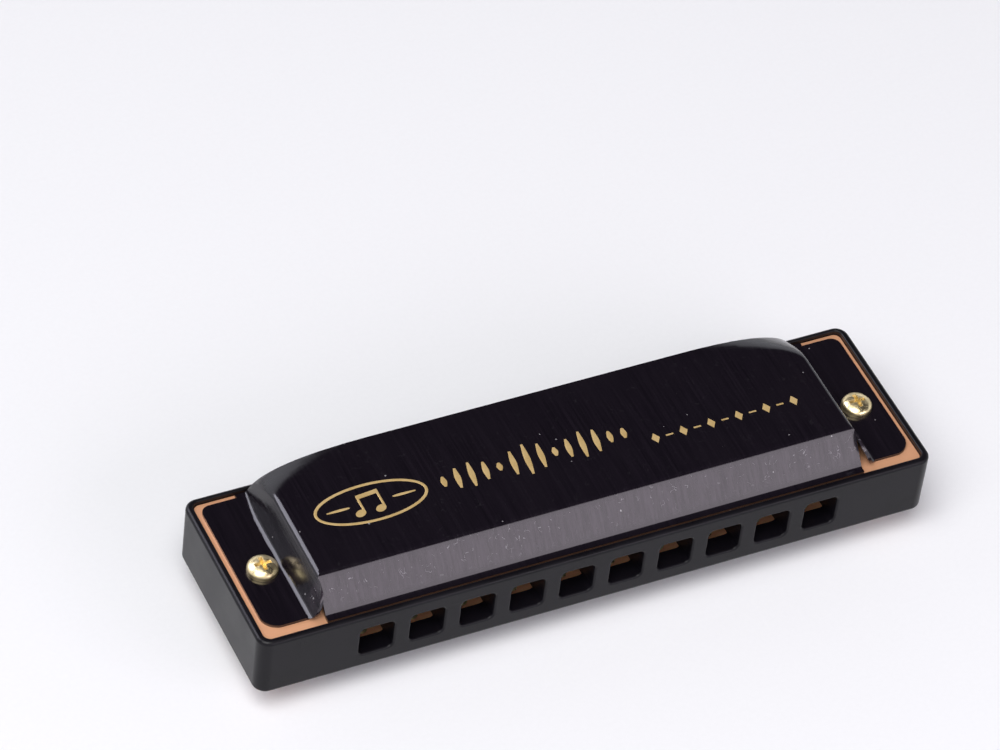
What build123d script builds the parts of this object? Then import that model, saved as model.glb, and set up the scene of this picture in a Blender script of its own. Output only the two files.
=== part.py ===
from build123d import *
import os
from math import atan2, cos, hypot, sin, tan

# A ten-hole diatonic harmonica, in millimetres.
# X runs along the row of holes, hole 1 (the lowest note) at -X. Y runs from the mouth side at -Y to the back.
# Z is up. The origin is below the middle of the body, on the surface that the lower cover rests on.

# Overall sizes
body_length = 102.0
body_depth = 28.0
comb_thickness = 10.0
deck_rise = 4.4

# Comb: a moulded block with a raised rim round each reed plate
corner_radius = 1.9
end_rim = 1.1
front_rim = 1.0
rear_rim = 0.8
rim_reveal = 0.7
rim_round = 0.25
mouth_round = 0.6
recess_corner = 1.0
hole_count = 10
hole_pitch = 7.5
hole_width = 5.0
hole_height = 5.0
hole_corner = 0.8
hole_lip = 0.35
front_bar = 3.0
chamber_width = 5.6
chamber_margin = 1.0

# Reed plates
plate_thickness = 1.0
plate_clearance = 0.1

# Reeds: a pad riveted at the mouth side, and a tongue that swings in its slot
longest_tongue = 15.5
semitones_to_halve = 38.0
tongue_width = 2.2
tongue_root = 0.26
tongue_waist = 0.17
tongue_tip = 0.24
slot_side_gap = 0.06
slot_end_gap = 0.15
slot_under_pad = 0.3
pad_width = 3.2
pad_length = 3.0
pad_thickness = 0.35
pad_setback = 0.4
blow_notes = (0, 4, 7, 12, 16, 19, 24, 28, 31, 36)
draw_notes = (2, 7, 11, 14, 17, 21, 23, 26, 29, 33)

# Rivets and plate pins
rivet_radius = 0.6
rivet_head_radius = 0.95
rivet_head_height = 0.3
rivet_tail_radius = 0.85
rivet_tail_height = 0.15
pin_radius = 0.6
pin_head_radius = 1.0
pin_head_height = 0.3
pin_depth = 3.0
pin_from_end = 11.3
front_pin_from_mouth = 5.25
rear_pin_from_back = 4.4
middle_pin_from_back = 2.8

# Covers: pressed sheet with a tab at each end, leaning end walls and a sloping front flap
sheet = 0.45
tab_clearance = 0.8
tab_from_mouth = 2.85
tab_from_back = 1.75
tab_front_corner = 2.5
tab_rear_corner = 1.4
cover_from_back = 1.15
wall_foot_from_end = 8.4
deck_corner_from_end = 10.5
foot_bend = 1.0
deck_bend = 1.0
lip_clearance = 0.4
lip_length = 0.75
flap_top_from_mouth = 6.0
flap_from_end = 10.3
flap_foot_bend = 0.5
flap_top_bend = 1.1
lobe_reach = 0.6
lobe_height = 1.4
lobe_shoulder = 3.6

# Where the end walls fall away into a wide arch at the open back
droop_from_back = 8.0
arch_foot_from_end = 9.0
arch_corner_from_end = 12.1
arch_deck_from_end = 27.0
arch_wall_share = 0.86
arch_sections = 5
arch_ease = 0.6

# How far a cutting shape runs past the face that it cuts
overrun = 1.0

# Cover screws
screw_from_end = 5.6
screw_from_mouth = 12.9
screw_head_radius = 2.2
screw_head_height = 1.45
screw_rim_height = 0.4
screw_shank_radius = 1.1
screw_length = 4.4
screw_tip = 0.8
screw_hole_clearance = 0.2
pilot_clearance = 0.03
recess_arm = 1.25
recess_width = 0.62
recess_depth = 1.0
recess_taper = 14

os.makedirs("parts", exist_ok=True)

# Heights that follow from the sizes above
mid_z = comb_thickness / 2 + deck_rise
core_half = comb_thickness / 2 - rim_reveal - plate_thickness
plate_top_z = mid_z + core_half + plate_thickness
mid_plane = Plane.XY.offset(mid_z)
deck_height = rim_reveal + deck_rise
half_length = body_length / 2
half_depth = body_depth / 2
mouth_y = -half_depth
back_y = half_depth

# The recess that each reed plate lies in
recess_length = body_length - 2 * end_rim
recess_depth_y = body_depth - front_rim - rear_rim
recess_middle_y = (front_rim - rear_rim) / 2

# The cover's edges and bends
tab_reach = recess_length / 2 - tab_clearance
tab_front = mouth_y + tab_from_mouth
tab_rear = back_y - tab_from_back
lip_front = mouth_y + front_rim + lip_clearance
flap_foot_y = lip_front + lip_length
flap_top_y = mouth_y + flap_top_from_mouth
flap_half_length = half_length - flap_from_end
wall_foot_x = half_length - wall_foot_from_end
tab_root = wall_foot_x + foot_bend
deck_corner_x = half_length - deck_corner_from_end
lobe_front = tab_front - lobe_reach
cover_rear = back_y - cover_from_back
droop_start = back_y - droop_from_back
arch_foot_x = half_length - arch_foot_from_end
arch_corner_x = half_length - arch_corner_from_end
arch_deck_x = half_length - arch_deck_from_end

# Places along and across the row of holes
hole_places = [(index - (hole_count - 1) / 2) * hole_pitch for index in range(hole_count)]
chamber_front = mouth_y + front_bar
pad_front = chamber_front + pad_setback
hinge_y = pad_front + pad_length
rivet_y = pad_front + pad_length / 2
pin_x = half_length - pin_from_end
front_pin_y = mouth_y + front_pin_from_mouth
rear_pin_y = back_y - rear_pin_from_back
pin_places = [
    (-pin_x, front_pin_y),
    (pin_x, front_pin_y),
    (-pin_x, rear_pin_y),
    (pin_x, rear_pin_y),
    (0, back_y - middle_pin_from_back),
]
screw_x = half_length - screw_from_end
screw_y = mouth_y + screw_from_mouth
screw_places = [(-screw_x, screw_y), (screw_x, screw_y)]


def tongue_length(note):
    """Free length of a reed that sounds this many semitones above the lowest one."""
    return longest_tongue * 0.5 ** (note / semitones_to_halve)


def slot_box(note):
    """Length of a reed's slot, and the place of its middle across the plate."""
    front = hinge_y - slot_under_pad
    back = hinge_y + tongue_length(note) + slot_end_gap
    return back - front, (front + back) / 2


def save(part, label):
    """Labels a finished piece and writes it."""
    part.label = label
    export_step(part, f"parts/{label}.step")


# Comb
with BuildPart() as comb:
    with BuildSketch(mid_plane.offset(-comb_thickness / 2)):
        RectangleRounded(body_length, body_depth, corner_radius)
    extrude(amount=comb_thickness)
    outer_edges = comb.faces().filter_by(Axis.Z).edges()
    mouth_edges = outer_edges.filter_by(Axis.X).group_by(Axis.Y)[0]
    fillet(mouth_edges, radius=mouth_round)
    for height, direction in ((core_half, 1), (-core_half, -1)):
        with BuildSketch(mid_plane.offset(height)):
            with Locations((0, recess_middle_y)):
                RectangleRounded(recess_length, recess_depth_y, recess_corner)
        extrude(amount=direction * comb_thickness, mode=Mode.SUBTRACT)
    with BuildSketch(mid_plane.offset(-core_half)):
        for place, blow, draw in zip(hole_places, blow_notes, draw_notes):
            back = hinge_y + tongue_length(min(blow, draw)) + slot_end_gap + chamber_margin
            with Locations((place, (chamber_front + back) / 2)):
                Rectangle(chamber_width, back - chamber_front)
    extrude(amount=2 * core_half, mode=Mode.SUBTRACT)
    with BuildSketch(Plane.XZ.offset(half_depth)):
        with Locations((0, mid_z)):
            with GridLocations(hole_pitch, 0, hole_count, 1):
                RectangleRounded(hole_width, hole_height, hole_corner)
    extrude(amount=-front_bar - overrun, mode=Mode.SUBTRACT)
    mouth_face = comb.faces().filter_by(Axis.Y).sort_by(Axis.Y)[0]
    for hole in mouth_face.inner_wires():
        fillet(hole.edges(), radius=hole_lip)
    with BuildSketch(mid_plane.offset(-core_half)):
        with Locations(*screw_places):
            Circle(screw_shank_radius + pilot_clearance)
    extrude(amount=2 * core_half, mode=Mode.SUBTRACT)
    pin_bite = pin_depth - plate_thickness
    for height, direction in ((core_half, -1), (-core_half, 1)):
        with BuildSketch(mid_plane.offset(height)):
            with Locations(*pin_places):
                Circle(pin_radius + pilot_clearance)
        extrude(amount=direction * pin_bite, mode=Mode.SUBTRACT)
    rims = comb.faces().filter_by(Axis.Z)
    rim_faces = rims.sort_by(Axis.Z)[0:1] + rims.sort_by(Axis.Z)[-1:]
    fillet(rim_faces.edges().filter_by(lambda edge: edge.center().Y > mouth_y + mouth_round), rim_round)
save(comb.part, "comb")


def reed_plate(label, base_z, notes):
    """A reed plate standing on base_z, with a slot for each note and its holes."""
    with BuildPart() as plate:
        with BuildSketch(Plane.XY.offset(base_z)):
            with Locations((0, recess_middle_y)):
                RectangleRounded(
                    recess_length - 2 * plate_clearance,
                    recess_depth_y - 2 * plate_clearance,
                    recess_corner,
                )
            for place, note in zip(hole_places, notes):
                length, middle = slot_box(note)
                with Locations((place, middle)):
                    Rectangle(tongue_width + 2 * slot_side_gap, length, mode=Mode.SUBTRACT)
                with Locations((place, rivet_y)):
                    Circle(rivet_radius, mode=Mode.SUBTRACT)
            with Locations(*pin_places):
                Circle(pin_radius + pilot_clearance, mode=Mode.SUBTRACT)
            with Locations(*screw_places):
                Circle(screw_shank_radius + screw_hole_clearance, mode=Mode.SUBTRACT)
        extrude(amount=plate_thickness)
    save(plate.part, label)


def reed_pad(label, face_z, place):
    """The end of a reed that is riveted under the plate face at face_z."""
    with BuildPart() as pad:
        with BuildSketch(Plane.XY.offset(face_z)):
            with Locations((place, rivet_y)):
                RectangleRounded(pad_width, pad_length, (pad_width - tongue_width) / 2)
                Circle(rivet_radius, mode=Mode.SUBTRACT)
        extrude(amount=-pad_thickness)
    save(pad.part, label)


def reed_tongue(label, face_z, place, note):
    """The free tongue of a reed, thinned at its waist, lying under the plate face at face_z."""
    length = tongue_length(note)
    with BuildPart() as tongue:
        with BuildSketch(Plane.YZ.offset(place - tongue_width / 2)):
            with BuildLine():
                Polyline(
                    (hinge_y, face_z - tongue_root),
                    (hinge_y, face_z),
                    (hinge_y + length, face_z),
                    (hinge_y + length, face_z - tongue_tip),
                )
                Spline(
                    (hinge_y + length, face_z - tongue_tip),
                    (hinge_y + length / 2, face_z - tongue_waist),
                    (hinge_y, face_z - tongue_root),
                )
            make_face()
        extrude(amount=tongue_width)
    save(tongue.part, label)


def rivets(label, face_z):
    """One rivet for each reed: a domed head under the pad, a shank, and a tail spread over the plate."""
    head_z = face_z - pad_thickness
    tail_z = face_z + plate_thickness
    with BuildPart() as group:
        for place in hole_places:
            with BuildSketch(Plane.XZ.offset(-rivet_y)):
                with BuildLine():
                    Polyline(
                        (place, head_z - rivet_head_height),
                        (place, tail_z + rivet_tail_height),
                        (place + rivet_radius, tail_z + rivet_tail_height),
                        (place + rivet_tail_radius, tail_z),
                        (place + rivet_radius, tail_z),
                        (place + rivet_radius, head_z),
                        (place + rivet_head_radius, head_z),
                    )
                    EllipticalCenterArc(
                        (place, head_z),
                        rivet_head_radius,
                        rivet_head_height,
                        start_angle=-90,
                        arc_size=90,
                    )
                make_face()
            revolve(axis=Axis((place, rivet_y, 0), (0, 0, 1)))
    save(group.part, label)


def plate_pins(label, up):
    """Small domed pins that hold a reed plate to the comb; up is 1 on the upper plate and -1 on the lower."""
    seat_z = mid_z + up * (core_half + plate_thickness)
    with BuildPart() as group:
        for place, across in pin_places:
            with BuildSketch(Plane.XZ.offset(-across)):
                with BuildLine():
                    Polyline(
                        (place, seat_z + up * pin_head_height),
                        (place, seat_z - up * pin_depth),
                        (place + pin_radius, seat_z - up * (pin_depth - pin_radius)),
                        (place + pin_radius, seat_z),
                        (place + pin_head_radius, seat_z),
                    )
                    Bezier(
                        (place + pin_head_radius, seat_z),
                        (place + pin_head_radius, seat_z + up * pin_head_height),
                        (place, seat_z + up * pin_head_height),
                    )
                make_face()
            revolve(axis=Axis((place, across, 0), (0, 0, 1)))
    save(group.part, label)


def shifted(point, direction, distance):
    """The point that lies this far from another along a direction."""
    return (point[0] + distance * direction[0], point[1] + distance * direction[1])


def wall_points(inset, foot_x, corner_x, foot_radius, corner_sets):
    """Corners and tangent points of one end wall's skin, from its tab up to the deck.

    The skin's outer face has inset 0, and its inner face has inset equal to the sheet.
    corner_sets are the bend's lengths along the wall and along the deck.
    """
    slope = atan2(deck_height - sheet, foot_x - corner_x)
    upward = (-cos(slope), sin(slope))
    shift = inset / sin(slope)
    lean = cos(slope) / sin(slope)
    foot = (foot_x - shift + inset * lean, sheet - inset)
    corner = (corner_x - shift + inset * lean, deck_height - inset)
    foot_set = (foot_radius + inset) * tan(slope / 2)
    wall_set, deck_set = corner_sets
    return [
        shifted(foot, (1, 0), foot_set),
        foot,
        shifted(foot, upward, foot_set),
        shifted(corner, upward, -wall_set),
        corner,
        shifted(corner, (-1, 0), deck_set),
    ]


def skin_points(inset, droop):
    """One end wall's points, blended from the upright wall at droop 0 to the arch at droop 1."""
    slope = atan2(deck_height - sheet, wall_foot_x - deck_corner_x)
    corner_set = (deck_bend - inset) * tan(slope / 2)
    upright = wall_points(inset, wall_foot_x, deck_corner_x, foot_bend, (corner_set, corner_set))
    arch_wall = hypot(arch_foot_x - arch_corner_x, deck_height - sheet) * arch_wall_share
    arch_deck = arch_corner_x - arch_deck_x
    arch = wall_points(inset, arch_foot_x, arch_corner_x, foot_bend / 2, (arch_wall, arch_deck))
    return [
        ((1 - droop) * a[0] + droop * b[0], (1 - droop) * a[1] + droop * b[1]) for a, b in zip(upright, arch)
    ]


def skin_outline(inset, droop, base, reach):
    """The closed outline below the skin, from base up and out to +-reach, seen from the mouth side."""
    half = skin_points(inset, droop)
    with BuildSketch() as outline:
        with BuildLine():
            for side in (1, -1):
                points = [(side * x, plate_top_z + height) for x, height in half]
                rim = (side * reach, points[0][1])
                Polyline((0, plate_top_z + base), (side * reach, plate_top_z + base), rim, points[0])
                Bezier(*points[0:3])
                Line(points[2], points[3])
                Bezier(*points[3:6])
                Line(points[5], (0, plate_top_z + deck_height - inset))
        make_face()
    return outline.sketch


def hood(inset, base, reach, front, rear):
    """The solid below the cover's skin: straight at the front, falling away at the back corners."""
    with BuildPart() as body:
        with BuildSketch(Plane.XZ.offset(-front)):
            add(skin_outline(inset, 0, base, reach))
        extrude(amount=front - droop_start)
        for step in range(arch_sections):
            along = step / (arch_sections - 1)
            droop = along * along * (1 + arch_ease * (1 - along))
            with BuildSketch(Plane.XZ.offset(-droop_start - along * (rear - droop_start))):
                add(skin_outline(inset, droop, base, reach))
        loft()
    return body.part


if __name__ == "__main__":
    pass


def flap_outline(inset, base, front):
    """The closed outline below the front flap and the deck, seen from the +X end."""
    slope = atan2(deck_height - sheet, flap_top_y - flap_foot_y)
    shift = inset / sin(slope) - inset * cos(slope) / sin(slope)
    foot_z = plate_top_z + sheet - inset
    deck_z = plate_top_z + deck_height - inset
    rear = cover_rear + overrun
    with BuildSketch() as outline:
        with BuildLine():
            FilletPolyline(
                (front, foot_z),
                (flap_foot_y + shift, foot_z),
                (flap_top_y + shift, deck_z),
                (rear, deck_z),
                radius=[flap_foot_bend + inset, flap_top_bend - inset],
            )
            Polyline((rear, deck_z), (rear, base), (front, base), (front, foot_z))
        make_face()
    return outline.sketch


def lobe_outline():
    """The closed outline that trims the end walls' front edges to a rounded lobe, seen from the +X end."""
    rear = cover_rear + overrun
    tab_z = plate_top_z + sheet
    lobe_z = plate_top_z + lobe_height
    deck_z = plate_top_z + deck_height
    with BuildSketch() as outline:
        with BuildLine():
            Bezier((tab_front, tab_z), (lobe_front, tab_z), (lobe_front, lobe_z))
            Bezier((lobe_front, lobe_z), (lobe_front, plate_top_z + lobe_shoulder), (flap_top_y, deck_z))
            Polyline(
                (flap_top_y, deck_z),
                (rear, deck_z),
                (rear, plate_top_z),
                (tab_front, plate_top_z),
                (tab_front, tab_z),
            )
        make_face()
    return outline.sketch


def upper_cover_hollow():
    """The room under the deck, which the pressed sheet leaves free."""
    with BuildPart() as hollow:
        add(hood(sheet, -overrun, half_length, lip_front - overrun, cover_rear))
        with BuildSketch(Plane.YZ.offset(-half_length)):
            add(flap_outline(sheet, plate_top_z - overrun, lip_front - overrun))
        extrude(amount=body_length, mode=Mode.INTERSECT)
    return hollow.part


def upper_cover_middle():
    """The front flap and the part of the deck behind it, between the two slits."""
    with BuildPart() as middle:
        add(hood(0, 0, tab_reach, lip_front, cover_rear))
        with BuildSketch(Plane.YZ.offset(-flap_half_length)):
            add(flap_outline(0, plate_top_z, lip_front))
        extrude(amount=2 * flap_half_length, mode=Mode.INTERSECT)
        add(upper_cover_hollow(), mode=Mode.SUBTRACT)
    return middle.part


# Reed plates, with the lowest notes' long slots at -X
blow_face_z = mid_z + core_half
draw_face_z = mid_z - core_half - plate_thickness
reed_plate("upper_reed_plate", blow_face_z, blow_notes)
reed_plate("lower_reed_plate", draw_face_z, draw_notes)

# Reeds: the blow reeds hang inside the chambers, the draw reeds outside the lower plate
for name, face_z, notes in (("blow", blow_face_z, blow_notes), ("draw", draw_face_z, draw_notes)):
    for hole, (place, note) in enumerate(zip(hole_places, notes), start=1):
        reed_pad(f"{name}_reed_pad_{hole:02d}", face_z, place)
        reed_tongue(f"{name}_reed_tongue_{hole:02d}", face_z, place, note)
    rivets(f"{name}_reed_rivets", face_z)

plate_pins("upper_plate_pins", 1)
plate_pins("lower_plate_pins", -1)

# Covers
with BuildPart() as upper_cover:
    add(hood(0, 0, tab_reach, lip_front, cover_rear))
    with BuildSketch(Plane.YZ.offset(-tab_reach)):
        add(lobe_outline())
    extrude(amount=2 * tab_reach, mode=Mode.INTERSECT)
    add(hood(sheet, -overrun, half_length, lip_front - overrun, cover_rear), mode=Mode.SUBTRACT)
    with BuildSketch(Plane.XY.offset(plate_top_z)):
        Rectangle(2 * flap_half_length, 2 * body_depth)
    extrude(amount=deck_height + overrun, mode=Mode.SUBTRACT)
    add(upper_cover_middle())
    with BuildSketch(Plane.XY.offset(plate_top_z)):
        with Locations(*((side * (tab_root + half_length) / 2, (tab_rear + back_y) / 2) for side in (-1, 1))):
            Rectangle(half_length - tab_root, back_y - tab_rear)
    extrude(amount=sheet, mode=Mode.SUBTRACT)
    for way, corner in ((-1, tab_front_corner), (1, tab_rear_corner)):
        uprights = upper_cover.edges().filter_by(Axis.Z)
        fillet(
            uprights.filter_by(lambda edge: abs(edge.center().X) > screw_x and edge.center().Y * way > 0),
            radius=corner,
        )
    with BuildSketch(Plane.XY.offset(plate_top_z)):
        with Locations(*screw_places):
            Circle(screw_shank_radius + screw_hole_clearance)
    extrude(amount=2 * sheet, mode=Mode.SUBTRACT)
save(upper_cover.part, "upper_cover")

with BuildPart() as lower_cover:
    mirror(upper_cover.part, about=mid_plane)
save(lower_cover.part, "lower_cover")

# Cover screws: domed heads with a cross recess, and shanks that end short of the body's middle
seat_z = plate_top_z + sheet
with BuildPart() as upper_cover_screws:
    for place, across in screw_places:
        with BuildSketch(Plane.XZ.offset(-across)):
            with BuildLine():
                Polyline(
                    (place, seat_z + screw_head_height),
                    (place, seat_z - screw_length),
                    (place + screw_shank_radius, seat_z - screw_length + screw_tip),
                    (place + screw_shank_radius, seat_z),
                    (place + screw_head_radius, seat_z),
                    (place + screw_head_radius, seat_z + screw_rim_height),
                )
                EllipticalCenterArc(
                    (place, seat_z + screw_rim_height),
                    screw_head_radius,
                    screw_head_height - screw_rim_height,
                    start_angle=0,
                    arc_size=90,
                )
            make_face()
        revolve(axis=Axis((place, across, 0), (0, 0, 1)))
    with BuildSketch(Plane.XY.offset(seat_z + screw_head_height)):
        with Locations(*screw_places):
            Rectangle(2 * recess_arm, recess_width)
            Rectangle(recess_width, 2 * recess_arm)
    extrude(amount=-recess_depth, taper=recess_taper, mode=Mode.SUBTRACT)
save(upper_cover_screws.part, "upper_cover_screws")

with BuildPart() as lower_cover_screws:
    mirror(upper_cover_screws.part, about=mid_plane)
save(lower_cover_screws.part, "lower_cover_screws")
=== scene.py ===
from math import cos, pi, radians, sin

import bpy
from bpy.props import FloatProperty, FloatVectorProperty, PointerProperty
from bpy.types import Operator, Panel, PropertyGroup
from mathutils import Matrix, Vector


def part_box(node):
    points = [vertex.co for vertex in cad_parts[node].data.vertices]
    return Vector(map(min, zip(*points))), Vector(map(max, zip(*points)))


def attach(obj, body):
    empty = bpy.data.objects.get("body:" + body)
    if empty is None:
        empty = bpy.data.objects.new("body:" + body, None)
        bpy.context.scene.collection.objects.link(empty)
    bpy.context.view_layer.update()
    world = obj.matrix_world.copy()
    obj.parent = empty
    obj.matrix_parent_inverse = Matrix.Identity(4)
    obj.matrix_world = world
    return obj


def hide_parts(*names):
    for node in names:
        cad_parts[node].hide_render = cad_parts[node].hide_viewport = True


bl_info = {
    "name": "Ten-hole Harmonica",
    "version": (1, 0, 0),
    "blender": (4, 5, 0),
    "location": "View3D > Sidebar > Harmonica",
    "description": "Finishes a harmonica's comb, covers, plates, reeds and screws, and lights it",
    "category": "Object",
}

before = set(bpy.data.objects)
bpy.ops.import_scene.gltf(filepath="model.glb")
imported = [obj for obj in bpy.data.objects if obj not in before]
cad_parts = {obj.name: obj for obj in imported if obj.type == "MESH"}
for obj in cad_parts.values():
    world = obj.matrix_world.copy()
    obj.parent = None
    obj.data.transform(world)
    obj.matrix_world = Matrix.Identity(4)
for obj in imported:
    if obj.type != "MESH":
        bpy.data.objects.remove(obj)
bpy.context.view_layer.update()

MM = 0.001
BODY = "body"

# Heights and edges that come from the frame
comb_low, comb_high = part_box("comb")
mouth_y = comb_low.y
rim_z = comb_high.z
middle_z = (comb_low.z + comb_high.z) / 2
plate_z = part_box("upper_reed_plate")[1].z
deck_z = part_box("upper_cover")[1].z

# How far a filled shape of ink reaches below and above the deck, as shares of the ink's height
INK_SUNK = 0.5
INK_PROUD = 0.9

# Where the camera stands, in metres, and its turns about X, Y and Z, in degrees
CAMERA_PLACE = (-0.26046, -0.42678, 0.54047)
CAMERA_TURNS = (44.3167, -5.3788, -24.7114)


# ---------------------------------------------------------------- settings


def colour(name, description, default):
    """A colour setting."""
    return FloatVectorProperty(
        name=name, description=description, default=default, min=0, max=1, subtype="COLOR", size=3
    )


def length(name, description, default):
    """A length setting, in metres."""
    return FloatProperty(
        name=name,
        description=description,
        default=default,
        min=0,
        precision=6,
        subtype="DISTANCE",
        unit="LENGTH",
    )


def glow(name, description, default):
    """How bright a light looks, as its radiance."""
    return FloatProperty(name=name, description=description, default=default, min=0)


class CoverSettings(PropertyGroup):
    lacquer: colour("Lacquer", "Colour of the black lacquer", (0.0028, 0.002, 0.0038))
    edge_round: length("Edge rounding", "Rounding of the pressed sheet's cut edges", 0.07 * MM)
    brush_depth: length("Brush depth", "Depth of the brushed lines under the lacquer", 0.0045 * MM)


class PrintSettings(PropertyGroup):
    ink: colour("Ink", "Colour of the gold ink", (0.62, 0.43, 0.17))
    height: length("Ink height", "How far the ink stands up", 0.03 * MM)
    stroke: length("Stroke", "Width of the main strokes", 0.42 * MM)


class CombSettings(PropertyGroup):
    plastic: colour("Plastic", "Colour of the moulded comb", (0.0035, 0.003, 0.0045))
    edge_round: length("Edge rounding", "Rounding of the comb's small edges", 0.08 * MM)


class BrassSettings(PropertyGroup):
    plate: colour("Plates", "Colour of the reed plates", (1.0, 0.52, 0.29))
    reed: colour("Reeds", "Colour of the reeds", (0.83, 0.66, 0.34))
    screw: colour("Screws", "Colour of the screws, rivets and pins", (0.95, 0.79, 0.45))
    edge_round: length("Edge rounding", "Rounding of the screws' and plates' edges", 0.05 * MM)


class StageSettings(PropertyGroup):
    floor: colour("Floor", "Colour of the floor", (0.86, 0.86, 0.88))
    key_glow: glow("Key", "How bright the key light looks", 5.7)
    card_glow: glow("Card", "How bright the card that the front flap mirrors looks", 3.2)
    bend_glow: glow("Bend card", "How bright the card that the end wall's bends mirror looks", 6.0)
    lens: FloatProperty(name="Lens", description="Focal length, in millimetres", default=189.6, min=1)


# ---------------------------------------------------------------- modelling helpers


def select_only(*objects):
    """Leaves only these objects selected, the first of them active."""
    bpy.ops.object.select_all(action="DESELECT")
    for item in objects:
        item.select_set(True)
    bpy.context.view_layer.objects.active = objects[0]


def cad_copy(node, name):
    """A new piece with a CAD node's shape, its loose triangles merged and its flat faces made whole."""
    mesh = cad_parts[node].data.copy()
    mesh.name = name
    mesh.materials.clear()
    piece = bpy.data.objects.new(name, mesh)
    bpy.context.collection.objects.link(piece)
    select_only(piece)
    bpy.ops.mesh.customdata_custom_splitnormals_clear()
    bpy.ops.object.mode_set(mode="EDIT")
    bpy.ops.mesh.select_all(action="SELECT")
    bpy.ops.mesh.remove_doubles(threshold=0.002 * MM)
    bpy.ops.mesh.dissolve_limited(angle_limit=radians(0.4))
    bpy.ops.object.mode_set(mode="OBJECT")
    return piece


def round_edges(piece, width, segments=2, angle=35):
    """Rounds the piece's sharp edges, then shades it smooth."""
    select_only(piece)
    bevel = piece.modifiers.new("Edge rounding", "BEVEL")
    bevel.width = width
    bevel.segments = segments
    bevel.limit_method = "ANGLE"
    bevel.angle_limit = radians(angle)
    bpy.ops.object.modifier_apply(modifier=bevel.name)
    bpy.ops.object.shade_smooth_by_angle(angle=radians(angle))
    even = piece.modifiers.new("Even shading", "WEIGHTED_NORMAL")
    even.keep_sharp = True
    even.weight = 90
    bpy.ops.object.modifier_apply(modifier=even.name)


def finish(piece, material, slot, *nodes):
    """Gives a finished piece its material and its place on the body, where it stands for these CAD nodes."""
    piece.data.materials.clear()
    piece.data.materials.append(material)
    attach(piece, BODY)
    if nodes:
        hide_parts(*nodes)


def paint_node(node, material):
    """Gives a CAD node that stays in view its material."""
    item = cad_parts[node]
    if not item.material_slots:
        item.data.materials.append(material)
    for holder in item.material_slots:
        holder.material = material


# ---------------------------------------------------------------- shared node groups


def new_group(name, inputs, outputs):
    """An empty shader node group with named sockets, and its input and output nodes."""
    group = bpy.data.node_groups.new(name, "ShaderNodeTree")
    for label, kind, value in inputs:
        socket = group.interface.new_socket(label, in_out="INPUT", socket_type=kind)
        if value is not None:
            socket.default_value = value
    for label, kind in outputs:
        group.interface.new_socket(label, in_out="OUTPUT", socket_type=kind)
    return group, group.nodes.new("NodeGroupInput"), group.nodes.new("NodeGroupOutput")


def add_node(tree, kind, **values):
    """Adds a node and sets its properties; a name with an index, such as input_2, sets that input."""
    node = tree.nodes.new(kind)
    for key, value in values.items():
        if key.startswith("input_"):
            node.inputs[int(key[6:])].default_value = value
        else:
            setattr(node, key, value)
    return node


def brushed_lines_group():
    """Fine parallel lines that run front to back, as a brush leaves them on sheet metal."""
    group, given, result = new_group(
        "Brushed lines",
        [
            ("Coordinates", "NodeSocketVector", None),
            ("Density", "NodeSocketFloat", 6000),
            ("Stretch", "NodeSocketFloat", 40),
            ("Contrast", "NodeSocketFloat", 0.2),
        ],
        [("Lines", "NodeSocketFloat")],
    )
    link = group.links.new
    along = add_node(group, "ShaderNodeMath", operation="DIVIDE")
    scale = add_node(group, "ShaderNodeCombineXYZ")
    spread = add_node(group, "ShaderNodeVectorMath", operation="MULTIPLY")
    noise = add_node(group, "ShaderNodeTexNoise")
    noise.inputs["Scale"].default_value = 1
    noise.inputs["Detail"].default_value = 4
    noise.inputs["Roughness"].default_value = 0.6
    low = add_node(group, "ShaderNodeMath", operation="SUBTRACT", input_0=0.5)
    high = add_node(group, "ShaderNodeMath", operation="ADD", input_0=0.5)
    fit = add_node(group, "ShaderNodeMapRange")
    link(given.outputs["Density"], along.inputs[0])
    link(given.outputs["Stretch"], along.inputs[1])
    link(given.outputs["Density"], scale.inputs["X"])
    link(along.outputs[0], scale.inputs["Y"])
    link(along.outputs[0], scale.inputs["Z"])
    link(given.outputs["Coordinates"], spread.inputs[0])
    link(scale.outputs[0], spread.inputs[1])
    link(spread.outputs[0], noise.inputs["Vector"])
    link(given.outputs["Contrast"], low.inputs[1])
    link(given.outputs["Contrast"], high.inputs[1])
    link(noise.outputs["Fac"], fit.inputs["Value"])
    link(low.outputs[0], fit.inputs["From Min"])
    link(high.outputs[0], fit.inputs["From Max"])
    link(fit.outputs["Result"], result.inputs["Lines"])
    return group


def cloudy_group():
    """Soft uneven patches, as on a handled or moulded surface."""
    group, given, result = new_group(
        "Cloudy patches",
        [
            ("Coordinates", "NodeSocketVector", None),
            ("Density", "NodeSocketFloat", 150),
            ("Softness", "NodeSocketFloat", 0.25),
        ],
        [("Patches", "NodeSocketFloat")],
    )
    link = group.links.new
    noise = add_node(group, "ShaderNodeTexNoise")
    noise.inputs["Detail"].default_value = 3
    low = add_node(group, "ShaderNodeMath", operation="SUBTRACT", input_0=0.5)
    high = add_node(group, "ShaderNodeMath", operation="ADD", input_0=0.5)
    fit = add_node(group, "ShaderNodeMapRange", interpolation_type="SMOOTHSTEP")
    link(given.outputs["Coordinates"], noise.inputs["Vector"])
    link(given.outputs["Density"], noise.inputs["Scale"])
    link(given.outputs["Softness"], low.inputs[1])
    link(given.outputs["Softness"], high.inputs[1])
    link(noise.outputs["Fac"], fit.inputs["Value"])
    link(low.outputs[0], fit.inputs["From Min"])
    link(high.outputs[0], fit.inputs["From Max"])
    link(fit.outputs["Result"], result.inputs["Patches"])
    return group


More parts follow.
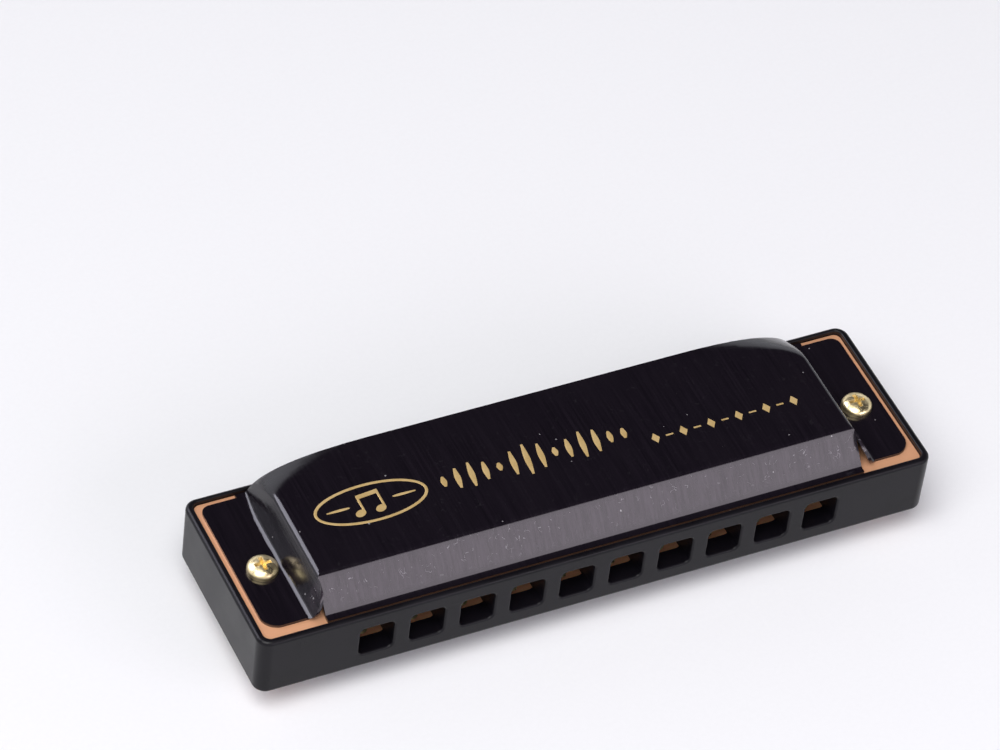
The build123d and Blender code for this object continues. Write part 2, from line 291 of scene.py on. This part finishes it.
def specks_group():
    """Small scattered specks of dust; Amount is the share of cells that hold one."""
    group, given, result = new_group(
        "Dust specks",
        [
            ("Coordinates", "NodeSocketVector", None),
            ("Density", "NodeSocketFloat", 400),
            ("Size", "NodeSocketFloat", 0.06),
            ("Amount", "NodeSocketFloat", 0.3),
        ],
        [("Specks", "NodeSocketFloat")],
    )
    link = group.links.new
    cells = add_node(group, "ShaderNodeTexVoronoi")
    pick = add_node(group, "ShaderNodeSeparateColor")
    chosen = add_node(group, "ShaderNodeMath", operation="LESS_THAN")
    size = add_node(group, "ShaderNodeMath", operation="MULTIPLY")
    near = add_node(group, "ShaderNodeMath", operation="LESS_THAN")
    both = add_node(group, "ShaderNodeMath", operation="MULTIPLY")
    link(given.outputs["Coordinates"], cells.inputs["Vector"])
    link(given.outputs["Density"], cells.inputs["Scale"])
    link(cells.outputs["Color"], pick.inputs["Color"])
    link(pick.outputs["Red"], chosen.inputs[0])
    link(given.outputs["Amount"], chosen.inputs[1])
    link(pick.outputs["Green"], size.inputs[0])
    link(given.outputs["Size"], size.inputs[1])
    link(cells.outputs["Distance"], near.inputs[0])
    link(size.outputs[0], near.inputs[1])
    link(chosen.outputs[0], both.inputs[0])
    link(near.outputs[0], both.inputs[1])
    link(both.outputs[0], result.inputs["Specks"])
    return group


def scratches_group():
    """Short hairline scratches at random angles, where a patchy mask lets them show."""
    group, given, result = new_group(
        "Hairline scratches",
        [
            ("Coordinates", "NodeSocketVector", None),
            ("Density", "NodeSocketFloat", 260),
            ("Width", "NodeSocketFloat", 0.012),
            ("Amount", "NodeSocketFloat", 0.45),
        ],
        [("Scratches", "NodeSocketFloat")],
    )
    link = group.links.new
    warp = add_node(group, "ShaderNodeTexNoise")
    warp.inputs["Detail"].default_value = 1
    centred = add_node(group, "ShaderNodeVectorMath", operation="SUBTRACT")
    centred.inputs[1].default_value = (0.5, 0.5, 0.5)
    bend = add_node(group, "ShaderNodeVectorMath", operation="SCALE")
    bend.inputs["Scale"].default_value = 4 * MM
    moved = add_node(group, "ShaderNodeVectorMath", operation="ADD")
    lean = add_node(group, "ShaderNodeMapping")
    lean.inputs["Rotation"].default_value = (0.5, 0.3, 0.6)
    lean.inputs["Scale"].default_value = (1, 0.22, 0.6)
    cracks = add_node(group, "ShaderNodeTexVoronoi", feature="DISTANCE_TO_EDGE")
    thin = add_node(group, "ShaderNodeMath", operation="LESS_THAN")
    patch = add_node(group, "ShaderNodeTexNoise")
    patch.inputs["Detail"].default_value = 4
    finer = add_node(group, "ShaderNodeMath", operation="MULTIPLY", input_1=1.7)
    chosen = add_node(group, "ShaderNodeMath", operation="LESS_THAN")
    both = add_node(group, "ShaderNodeMath", operation="MULTIPLY")
    link(given.outputs["Coordinates"], warp.inputs["Vector"])
    link(given.outputs["Density"], warp.inputs["Scale"])
    link(warp.outputs["Color"], centred.inputs[0])
    link(centred.outputs[0], bend.inputs[0])
    link(given.outputs["Coordinates"], moved.inputs[0])
    link(bend.outputs[0], moved.inputs[1])
    link(moved.outputs[0], lean.inputs["Vector"])
    link(lean.outputs[0], cracks.inputs["Vector"])
    link(given.outputs["Density"], cracks.inputs["Scale"])
    link(cracks.outputs["Distance"], thin.inputs[0])
    link(given.outputs["Width"], thin.inputs[1])
    link(given.outputs["Coordinates"], patch.inputs["Vector"])
    link(given.outputs["Density"], finer.inputs[0])
    link(finer.outputs[0], patch.inputs["Scale"])
    link(patch.outputs["Fac"], chosen.inputs[0])
    link(given.outputs["Amount"], chosen.inputs[1])
    link(thin.outputs[0], both.inputs[0])
    link(chosen.outputs[0], both.inputs[1])
    link(both.outputs[0], result.inputs["Scratches"])
    return group


GROUP_MAKERS = {
    "Brushed lines": brushed_lines_group,
    "Cloudy patches": cloudy_group,
    "Dust specks": specks_group,
    "Hairline scratches": scratches_group,
}


class Finish:
    """A material being put together: its shader, its coordinates and the effects placed in it."""

    def __init__(self, name, base, roughness, metallic=0.0):
        self.material = bpy.data.materials.new(name)
        self.material.use_nodes = True
        self.tree = self.material.node_tree
        self.shader = self.tree.nodes["Principled BSDF"]
        self.shader.inputs["Roughness"].default_value = roughness
        self.shader.inputs["Metallic"].default_value = metallic
        self.coordinates = self.tree.nodes.new("ShaderNodeTexCoord").outputs["Object"]
        self.base = base
        self.link = self.tree.links.new

    def effect(self, name, coordinates=None, **values):
        """Places a shared effect with its own values, and returns its output."""
        node = self.tree.nodes.new("ShaderNodeGroup")
        node.node_tree = bpy.data.node_groups.get(name) or GROUP_MAKERS[name]()
        self.link(coordinates or self.coordinates, node.inputs["Coordinates"])
        for key, value in values.items():
            node.inputs[key].default_value = value
        return node.outputs[0]

    def band(self, axis, start, end):
        """A mask that rises from 0 at start to 1 at end along one axis."""
        split = add_node(self.tree, "ShaderNodeSeparateXYZ")
        fit = add_node(self.tree, "ShaderNodeMapRange", input_1=start, input_2=end)
        self.link(self.coordinates, split.inputs[0])
        self.link(split.outputs[axis], fit.inputs["Value"])
        return fit.outputs["Result"]

    def both(self, first, second):
        """A mask where two masks meet."""
        node = add_node(self.tree, "ShaderNodeMath", operation="MULTIPLY")
        self.link(first, node.inputs[0])
        self.link(second, node.inputs[1])
        return node.outputs[0]

    def turned(self, rotation):
        """The coordinates turned for one effect."""
        node = self.tree.nodes.new("ShaderNodeMapping")
        node.inputs["Rotation"].default_value = rotation
        self.link(self.coordinates, node.inputs["Vector"])
        return node.outputs[0]

    def colours(self, layers):
        """Base colour: each layer is (mask, colour, strength), laid over the ones before it."""
        below = None
        for mask, tint, strength in layers:
            amount = add_node(self.tree, "ShaderNodeMath", operation="MULTIPLY", input_1=strength)
            mix = add_node(self.tree, "ShaderNodeMix", data_type="RGBA")
            self.link(mask, amount.inputs[0])
            self.link(amount.outputs[0], mix.inputs["Factor"])
            if below is None:
                mix.inputs[6].default_value = (*self.base, 1)
            else:
                self.link(below, mix.inputs[6])
            mix.inputs[7].default_value = (*tint, 1)
            below = mix.outputs[2]
        self.link(below, self.shader.inputs["Base Color"])

    def roughness(self, base, layers):
        """Roughness: base plus each (mask, amount)."""
        below = None
        for mask, amount in layers:
            step = add_node(self.tree, "ShaderNodeMath", operation="MULTIPLY_ADD")
            step.inputs[1].default_value = amount
            step.inputs[2].default_value = base
            self.link(mask, step.inputs[0])
            if below is not None:
                self.link(below, step.inputs[2])
            below = step.outputs[0]
        self.link(below, self.shader.inputs["Roughness"])

    def bumps(self, layers):
        """Surface relief: each layer is (height, depth in metres), the first one lowest."""
        below = None
        for height, depth in layers:
            bump = add_node(self.tree, "ShaderNodeBump")
            bump.inputs["Strength"].default_value = 1
            bump.inputs["Distance"].default_value = depth
            self.link(height, bump.inputs["Height"])
            if below is not None:
                self.link(below, bump.inputs["Normal"])
            below = bump.outputs[0]
        self.link(below, self.shader.inputs["Normal"])


# ---------------------------------------------------------------- materials


def lacquer_material(settings):
    """Thin black lacquer over brushed sheet steel, with faint lines, hairline scratches and dust; on the
    front flap, where it mirrors the card, the lighter brush streaks are painted sheen and the light-grey
    scratches are partly painted glints.
    """
    made = Finish("Black lacquer", settings.lacquer, 0.25)
    made.shader.inputs["IOR"].default_value = 1.5
    lines = made.effect("Brushed lines", Density=5200, Stretch=55, Contrast=0.22)
    broad = made.effect("Brushed lines", Density=900, Stretch=14, Contrast=0.2)
    patches = made.effect("Cloudy patches", Density=90, Softness=0.2)
    specks = made.effect("Dust specks", Density=520, Size=0.08, Amount=0.34)
    streaks = made.effect("Brushed lines", Density=2300, Stretch=9, Contrast=0.16)
    scratches = made.effect("Hairline scratches", Density=620, Width=0.012, Amount=0.42)
    in_front = made.band("Y", mouth_y + 5.8 * MM, mouth_y + 5.3 * MM)
    flap = made.both(in_front, made.band("Z", rim_z, rim_z + 0.6 * MM))
    # Painted sheen: the brush streaks are lightened only on the front flap, where it mirrors the card; the
    # streak pattern is the brushing, the lightness is painted reflection.
    flap_streaks_and_sheen = made.both(streaks, flap)
    # Hairline scratches painted light grey only on the lower front flap, where it mirrors the card: partly
    # real wear, partly painted glints.
    flap_scratches_and_glints = made.both(scratches, made.both(flap, made.band("Z", rim_z + 0.1 * MM, rim_z + 2.6 * MM)))
    faint = made.both(scratches, made.band("Z", deck_z - 0.8 * MM, deck_z))
    made.colours(
        [
            (lines, (0.013, 0.009, 0.015), 0.6),
            (patches, (0.007, 0.0048, 0.008), 0.6),
            (faint, (0.03, 0.028, 0.032), 0.3),
            # painted sheen streaks on the front flap
            (flap_streaks_and_sheen, (0.046, 0.036, 0.047), 0.5),
            # scratches on the flap, partly painted glints
            (flap_scratches_and_glints, (0.36, 0.34, 0.37), 0.5),
            (specks, (0.42, 0.40, 0.42), 0.6),
        ]
    )
    made.roughness(0.08, [(lines, 0.08), (broad, 0.06), (patches, 0.03), (flap_scratches_and_glints, 0.25)])
    made.bumps([(patches, 0.012 * MM), (broad, 0.006 * MM), (lines, settings.brush_depth)])
    return made.material


def ink_material(settings):
    """Gold ink, a little grainy and uneven."""
    made = Finish("Gold ink", settings.ink, 0.45, 0.35)
    grain = made.effect("Cloudy patches", Density=5200, Softness=0.2)
    patches = made.effect("Cloudy patches", Density=420, Softness=0.15)
    made.colours([(grain, (0.45, 0.30, 0.11), 0.5), (patches, (0.74, 0.55, 0.27), 0.4)])
    made.roughness(0.38, [(grain, 0.15)])
    made.bumps([(grain, 0.006 * MM)])
    return made.material


def plastic_material(settings):
    """Satin black moulded plastic with a fine grain."""
    made = Finish("Moulded plastic", settings.plastic, 0.4)
    grain = made.effect("Cloudy patches", Density=9000, Softness=0.2)
    patches = made.effect("Cloudy patches", Density=160, Softness=0.2)
    specks = made.effect("Dust specks", Density=420, Size=0.06, Amount=0.15)
    made.shader.inputs["Specular IOR Level"].default_value = 0.2
    made.colours([(patches, (0.007, 0.006, 0.009), 0.5), (specks, (0.25, 0.24, 0.25), 0.4)])
    made.roughness(0.26, [(grain, 0.08), (patches, 0.06)])
    made.bumps([(patches, 0.01 * MM), (grain, 0.003 * MM)])
    return made.material


def sheet_brass_material(name, tint, darker, across, shine):
    """Rolled sheet metal with fine lines, which across turns to run along X; shine is how metallic it is."""
    made = Finish(name, tint, 0.3, shine)
    turn = (0, 0, pi / 2) if across else (0, 0, 0)
    lines = made.effect("Brushed lines", made.turned(turn), Density=7000, Stretch=60, Contrast=0.2)
    patches = made.effect("Cloudy patches", Density=260, Softness=0.22)
    made.colours([(lines, darker, 0.35), (patches, darker, 0.4)])
    made.roughness(0.4, [(lines, 0.12), (patches, 0.08)])
    made.bumps([(lines, 0.0015 * MM)])
    return made.material


def turned_brass_material(name, tint):
    """Bright turned or plated brass with a few small scratches."""
    made = Finish(name, tint, 0.2, 1.0)
    patches = made.effect("Cloudy patches", Density=700, Softness=0.2)
    scratches = made.effect("Hairline scratches", Density=1400, Width=0.02, Amount=0.5)
    darker = [channel * 0.62 for channel in tint]
    made.colours([(patches, darker, 0.4), (scratches, darker, 0.5)])
    made.roughness(0.24, [(patches, 0.14), (scratches, 0.15)])
    made.bumps([(patches, 0.02 * MM), (scratches, -0.004 * MM)])
    return made.material


def floor_material(tint):
    """Plain pale paper, clear when seen from below so that the underside can be looked at."""
    made = Finish("Pale paper", tint, 0.8)
    grain = made.effect("Cloudy patches", Density=1500, Softness=0.3)
    made.colours([(grain, [channel * 0.985 for channel in tint], 1.0)])
    side = add_node(made.tree, "ShaderNodeNewGeometry")
    clear = add_node(made.tree, "ShaderNodeBsdfTransparent")
    choice = add_node(made.tree, "ShaderNodeMixShader")
    made.link(side.outputs["Backfacing"], choice.inputs["Fac"])
    made.link(made.shader.outputs["BSDF"], choice.inputs[1])
    made.link(clear.outputs["BSDF"], choice.inputs[2])
    made.link(choice.outputs["Shader"], made.tree.nodes["Material Output"].inputs["Surface"])
    return made.material


# ---------------------------------------------------------------- the pieces


class HARMONICA_OT_comb(Operator):
    """Finishes the comb: its moulded edges are rounded and it gets its plastic"""

    bl_idname = "harmonica.comb"
    bl_label = "Comb"

    def execute(self, context):
        chosen = context.scene.harmonica_comb
        comb = cad_copy("comb", "moulded_comb")
        round_edges(comb, chosen.edge_round)
        finish(comb, plastic_material(chosen), "comb_plastic", "comb")
        return {"FINISHED"}


class HARMONICA_OT_covers(Operator):
    """Finishes the two pressed covers: folds and cut edges are rounded and lacquered"""

    bl_idname = "harmonica.covers"
    bl_label = "Covers"

    def execute(self, context):
        chosen = context.scene.harmonica_cover
        lacquer = lacquer_material(chosen)
        for side, turn in (("upper", 1), ("lower", -1)):
            cover = cad_copy(f"{side}_cover", f"{side}_cover_pressing")
            self.make_room_for_ink(context, cover, turn)
            round_edges(cover, chosen.edge_round)
            finish(cover, lacquer, "cover_lacquer", f"{side}_cover")
        return {"FINISHED"}

    def make_room_for_ink(self, context, cover, turn):
        """Lowers the deck by the ink's height, so that the printed cover is no taller than the frame's."""
        reach = deck_z - plate_z
        shrunk = (reach - context.scene.harmonica_print.height) / reach
        base = middle_z + turn * (plate_z - middle_z)
        above_tabs = 1.0 * MM
        select_only(cover)
        bpy.ops.object.mode_set(mode="EDIT")
        bpy.ops.mesh.select_all(action="DESELECT")
        bpy.ops.object.mode_set(mode="OBJECT")
        for vertex in cover.data.vertices:
            vertex.select = turn * (vertex.co.z - base) > above_tabs
        bpy.ops.object.mode_set(mode="EDIT")
        bpy.ops.transform.resize(value=(1, 1, shrunk), center_override=(0, 0, base))
        bpy.ops.object.mode_set(mode="OBJECT")


class HARMONICA_OT_reed_plates(Operator):
    """Finishes the two reed plates and their drive pins"""

    bl_idname = "harmonica.reed_plates"
    bl_label = "Reed Plates"

    def execute(self, context):
        chosen = context.scene.harmonica_brass
        darker = [channel * 0.8 for channel in chosen.plate]
        metal = sheet_brass_material("Plate copper alloy", chosen.plate, darker, True, 0.55)
        pin_metal = turned_brass_material("Pin brass", chosen.screw)
        for side in ("upper", "lower"):
            plate = cad_copy(f"{side}_reed_plate", f"{side}_plate_sheet")
            round_edges(plate, chosen.edge_round)
            finish(plate, metal, "plate_metal", f"{side}_reed_plate")
        for name in sorted(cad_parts):
            if "pin" in name:
                paint_node(name, pin_metal)
        return {"FINISHED"}


class HARMONICA_OT_reeds(Operator):
    """Finishes the twenty reeds with their pads and rivets"""

    bl_idname = "harmonica.reeds"
    bl_label = "Reeds"

    def execute(self, context):
        chosen = context.scene.harmonica_brass
        darker = [channel * 0.75 for channel in chosen.reed]
        reed_metal = sheet_brass_material("Reed brass", chosen.reed, darker, False, 0.9)
        rivet_metal = turned_brass_material("Rivet brass", chosen.screw)
        for name in sorted(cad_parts):
            if "tongue" in name or "pad" in name:
                paint_node(name, reed_metal)
            elif "rivet" in name:
                paint_node(name, rivet_metal)
        return {"FINISHED"}


class HARMONICA_OT_screws(Operator):
    """Finishes the domed cross-head screws that hold the covers"""

    bl_idname = "harmonica.screws"
    bl_label = "Cover Screws"

    def execute(self, context):
        chosen = context.scene.harmonica_brass
        metal = turned_brass_material("Screw brass", chosen.screw)
        for name in sorted(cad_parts):
            if "screw" in name:
                screw = cad_copy(name, f"{name}_polished")
                round_edges(screw, chosen.edge_round * 1.6, segments=3, angle=30)
                finish(screw, metal, "screw_brass", name)
        return {"FINISHED"}


def inked_stroke(name, points, width, closed=False):
    """One flat stroke of ink; each point is (x, y, share of the width), in millimetres on the deck."""
    height = bpy.context.scene.harmonica_print.height
    bpy.ops.object.select_all(action="DESELECT")
    bpy.ops.curve.primitive_nurbs_path_add(location=(0, 0, 0))
    stroke = bpy.context.object
    stroke.name = name
    curve = stroke.data
    curve.splines.clear()
    spline = curve.splines.new("NURBS")
    spline.points.add(len(points) - 1)
    for point, (x, y, share) in zip(spline.points, points):
        point.co = (x * MM, y * MM, 0, 1)
        point.radius = share
    spline.order_u = 3
    spline.use_endpoint_u = not closed
    spline.use_cyclic_u = closed
    spline.resolution_u = 8
    curve.dimensions = "3D"
    curve.bevel_depth = width * MM / 2
    curve.bevel_resolution = 2
    curve.use_fill_caps = True
    bpy.ops.object.convert(target="MESH")
    stroke = bpy.context.object
    bpy.ops.object.mode_set(mode="EDIT")
    bpy.ops.mesh.select_all(action="SELECT")
    flat = 2 * height / (width * MM)
    bpy.ops.transform.resize(value=(1, 1, flat), center_override=(0, 0, 0))
    bpy.ops.transform.translate(value=(0, 0, deck_z - height))
    bpy.ops.object.mode_set(mode="OBJECT")
    return stroke


def inked_shape(name, corners):
    """One filled flat shape of ink with these corners, in millimetres on the deck."""
    height = bpy.context.scene.harmonica_print.height
    bottom_z = deck_z - (1 + INK_SUNK) * height
    bpy.ops.object.select_all(action="DESELECT")
    bpy.ops.mesh.primitive_circle_add(
        vertices=len(corners), radius=MM, fill_type="NGON", location=(0, 0, 0)
    )
    shape = bpy.context.object
    shape.name = name
    for vertex, (x, y) in zip(shape.data.vertices, corners):
        vertex.co = (x * MM, y * MM, bottom_z)
    bpy.ops.object.mode_set(mode="EDIT")
    bpy.ops.mesh.select_all(action="SELECT")
    bpy.ops.mesh.normals_make_consistent(inside=False)
    rise = (INK_SUNK + INK_PROUD) * height
    bpy.ops.mesh.extrude_region_move(TRANSFORM_OT_translate={"value": (0, 0, rise)})
    bpy.ops.mesh.select_all(action="SELECT")
    bpy.ops.mesh.normals_make_consistent(inside=False)
    bpy.ops.object.mode_set(mode="OBJECT")
    return shape


def joined(name, parts):
    """Joins the strokes of one motif."""
    select_only(*parts)
    bpy.ops.object.join()
    whole = bpy.context.object
    whole.name = name
    whole.data.name = name
    select_only(whole)
    bpy.ops.object.transform_apply(location=True, rotation=True, scale=True)
    bpy.ops.object.shade_smooth_by_angle(angle=radians(30))
    return whole


def oval(middle_x, middle_y, half_x, half_y, count, tilt=0.0):
    """Points round an oval, anticlockwise."""
    points = []
    for step in range(count):
        turn = 2 * pi * step / count
        x = half_x * cos(turn)
        y = half_y * sin(turn)
        points.append((middle_x + x * cos(tilt) - y * sin(tilt), middle_y + x * sin(tilt) + y * cos(tilt)))
    return points


class HARMONICA_OT_print(Operator):
    """Prints three plain gold ornaments on the upper deck"""

    bl_idname = "harmonica.print"
    bl_label = "Print"

    def execute(self, context):
        chosen = context.scene.harmonica_print
        ink = ink_material(chosen)
        stroke = chosen.stroke / MM
        motifs = [
            joined("print_note_medallion", self.medallion(stroke)),
            joined("print_ripple_band", self.ripples(stroke * 2.1)),
            joined("print_lozenge_row", self.lozenges()),
        ]
        for motif in motifs:
            finish(motif, ink, "cover_lacquer")
        return {"FINISHED"}

    def medallion(self, stroke):
        """A pair of beamed notes in an oval ring."""
        x, y = -28.6, 1.5
        ring = [(px, py, 1) for px, py in oval(x, y, 8.2, 3.3, 24)]
        parts = [inked_stroke("ring", ring, stroke, True)]
        for shift in (-1.5, 1.5):
            head = oval(x + shift - 0.62, y - 1.45, 0.82, 0.58, 20, radians(22))
            parts.append(inked_shape("head", head))
            stem = [(x + shift, y - 1.3, 1), (x + shift, y + 0.3, 1), (x + shift, y + 1.75 + shift * 0.1, 1)]
            parts.append(inked_stroke("stem", stem, stroke * 0.8))
        beam = [
            (x - 1.65, y + 1.05),
            (x + 1.65, y + 1.35),
            (x + 1.65, y + 2.05),
            (x - 1.65, y + 1.75),
        ]
        parts.append(inked_shape("beam", beam))
        for side in (-1, 1):
            reach = [(x + side * 3.2, y, 0.5), (x + side * 4.6, y, 1.6), (x + side * 6.6, y, 0.4)]
            parts.append(inked_stroke("dash", reach, stroke))
        return parts

    def ripples(self, stroke):
        """A band of upright strokes that swell and fade like a sound."""
        parts = []
        count = 14
        start_x, reach, y = -17.7, 27.3, 1.6
        for step in range(count):
            share = step / (count - 1)
            x = start_x + reach * share
            swell = abs(sin(pi * 3 * share + 0.35)) * (0.55 + 0.45 * sin(pi * share))
            half = 0.5 + 2.3 * swell
            lean = 0.12 * half
            points = [
                (x - lean, y - half, 0.35),
                (x - lean * 0.3, y - half * 0.3, 1),
                (x + lean * 0.3, y + half * 0.3, 1),
                (x + lean, y + half, 0.35),
            ]
            parts.append(inked_stroke("ripple", points, stroke))
        return parts

    def lozenges(self):
        """A row of small lozenges and bars."""
        parts = []
        count = 11
        start_x, pitch, y = 13.4, 2.15, -0.8
        lozenge_x, lozenge_y = 0.62, 0.95
        bar_x, bar_y = 0.55, 0.13
        for step in range(count):
            x = start_x + pitch * step
            if step % 2 == 0:
                corners = [(x - lozenge_x, y), (x, y - lozenge_y), (x + lozenge_x, y), (x, y + lozenge_y)]
            else:
                left, right, low, high = x - bar_x, x + bar_x, y - bar_y, y + bar_y
                corners = [(left, low), (right, low), (right, high), (left, high)]
            parts.append(inked_shape("lozenge", corners))
        return parts


# ---------------------------------------------------------------- the stage


def area_light(name, place, target, width, height, radiance, tint=(1, 1, 1)):
    """A soft light that faces its target; radiance is how bright it looks."""
    bpy.ops.object.select_all(action="DESELECT")
    bpy.ops.object.light_add(type="AREA", location=place)
    item = bpy.context.object
    item.name = name
    item.data.shape = "RECTANGLE"
    item.data.size = width
    item.data.size_y = height
    item.data.energy = radiance * pi * width * height
    item.data.color = tint
    aim = Vector(target) - Vector(place)
    item.rotation_euler = aim.to_track_quat("-Z", "Y").to_euler()
    return item


class HARMONICA_OT_stage(Operator):
    """Lays the floor, hangs the lights and sets up the camera"""

    bl_idname = "harmonica.stage"
    bl_label = "Stage"

    def execute(self, context):
        chosen = context.scene.harmonica_stage
        self.floor(chosen)
        self.lights(chosen)
        self.camera(context, chosen)
        context.scene.view_settings.view_transform = "Standard"
        return {"FINISHED"}

    def floor(self, chosen):
        """A plain pale floor under the harmonica."""
        bpy.ops.object.select_all(action="DESELECT")
        bpy.ops.mesh.primitive_plane_add(size=6, location=(0, 0, 0))
        floor = bpy.context.object
        floor.name = "floor"
        floor.data.materials.append(floor_material(chosen.floor))

    def lights(self, chosen):
        """Surroundings that are bright low down and dark overhead, a key light, and two cards to mirror."""
        world = bpy.data.worlds.new("Studio")
        bpy.context.scene.world = world
        world.use_nodes = True
        tree = world.node_tree
        backdrop = tree.nodes["Background"]
        around = add_node(tree, "ShaderNodeTexCoord")
        split = add_node(tree, "ShaderNodeSeparateXYZ")
        height = add_node(tree, "ShaderNodeMapRange", interpolation_type="SMOOTHSTEP")
        bright_below, dark_above = 0.30, 0.52
        height.inputs["From Min"].default_value = bright_below
        height.inputs["From Max"].default_value = dark_above
        low_colour = (0.82, 0.83, 0.90, 1)
        overhead_colour = (0.035, 0.033, 0.040, 1)
        blend = add_node(tree, "ShaderNodeMix", data_type="RGBA")
        blend.inputs[6].default_value = low_colour
        blend.inputs[7].default_value = overhead_colour
        tree.links.new(around.outputs["Generated"], split.inputs[0])
        tree.links.new(split.outputs["Z"], height.inputs["Value"])
        tree.links.new(height.outputs["Result"], blend.inputs["Factor"])
        tree.links.new(blend.outputs[2], backdrop.inputs["Color"])
        middle = Vector((0, 0, 12 * MM))
        card_distance = 0.8
        area_light("key", (-0.55, -0.45, 1.3), middle, 1.2, 1.2, chosen.key_glow)
        place = middle + card_distance * Vector((0.354, -0.819, 0.463))
        area_light("flap card", place, middle, 0.6, 0.26, chosen.card_glow, (1, 0.9, 1))
        # Only mirrored, in the bends at the foot and the top of the left end wall
        place = middle + card_distance * Vector((-0.508, 0.603, 0.615))
        bend_card = area_light("bend card", place, middle, 0.5, 0.5, chosen.bend_glow, (0.88, 0.87, 1))
        bend_card.visible_diffuse = False

    def camera(self, context, chosen):
        """A long lens that looks down on the mouth side from the left."""
        turns = [radians(angle) for angle in CAMERA_TURNS]
        bpy.ops.object.select_all(action="DESELECT")
        bpy.ops.object.camera_add(location=CAMERA_PLACE, rotation=turns)
        camera = bpy.context.object
        camera.data.lens = chosen.lens
        camera.data.sensor_width = 36
        camera.data.clip_start = 0.01
        camera.data.clip_end = 20
        context.scene.camera = camera


# ---------------------------------------------------------------- panel and registration


class HARMONICA_PT_build(Panel):
    """Lists each group of settings with the operators that use them"""

    bl_label = "Harmonica"
    bl_idname = "HARMONICA_PT_build"
    bl_space_type = "VIEW_3D"
    bl_region_type = "UI"
    bl_category = "Harmonica"

    def draw(self, context):
        scene = context.scene
        layout = self.layout
        for title, group, names, operators in (
            ("Comb", scene.harmonica_comb, CombSettings, ("comb",)),
            ("Covers", scene.harmonica_cover, CoverSettings, ("covers",)),
            ("Print", scene.harmonica_print, PrintSettings, ("print",)),
            ("Brass", scene.harmonica_brass, BrassSettings, ("reed_plates", "reeds", "screws")),
            ("Stage", scene.harmonica_stage, StageSettings, ("stage",)),
        ):
            box = layout.box()
            box.label(text=title)
            for name in names.__annotations__:
                box.prop(group, name)
            for operator in operators:
                box.operator(f"harmonica.{operator}")


SETTINGS = {
    "harmonica_cover": CoverSettings,
    "harmonica_print": PrintSettings,
    "harmonica_comb": CombSettings,
    "harmonica_brass": BrassSettings,
    "harmonica_stage": StageSettings,
}
OPERATORS = (
    HARMONICA_OT_comb,
    HARMONICA_OT_covers,
    HARMONICA_OT_reed_plates,
    HARMONICA_OT_reeds,
    HARMONICA_OT_screws,
    HARMONICA_OT_print,
    HARMONICA_OT_stage,
)


def register():
    for name, group in SETTINGS.items():
        bpy.utils.register_class(group)
        setattr(bpy.types.Scene, name, PointerProperty(type=group))
    for operator in OPERATORS:
        bpy.utils.register_class(operator)
    bpy.utils.register_class(HARMONICA_PT_build)


def unregister():
    bpy.utils.unregister_class(HARMONICA_PT_build)
    for operator in reversed(OPERATORS):
        bpy.utils.unregister_class(operator)
    for name, group in reversed(SETTINGS.items()):
        delattr(bpy.types.Scene, name)
        bpy.utils.unregister_class(group)


def main():
    register()
    bpy.ops.harmonica.comb()
    bpy.ops.harmonica.covers()
    bpy.ops.harmonica.reed_plates()
    bpy.ops.harmonica.reeds()
    bpy.ops.harmonica.screws()
    bpy.ops.harmonica.print()
    bpy.ops.harmonica.stage()


if __name__ == "__main__":
    main()
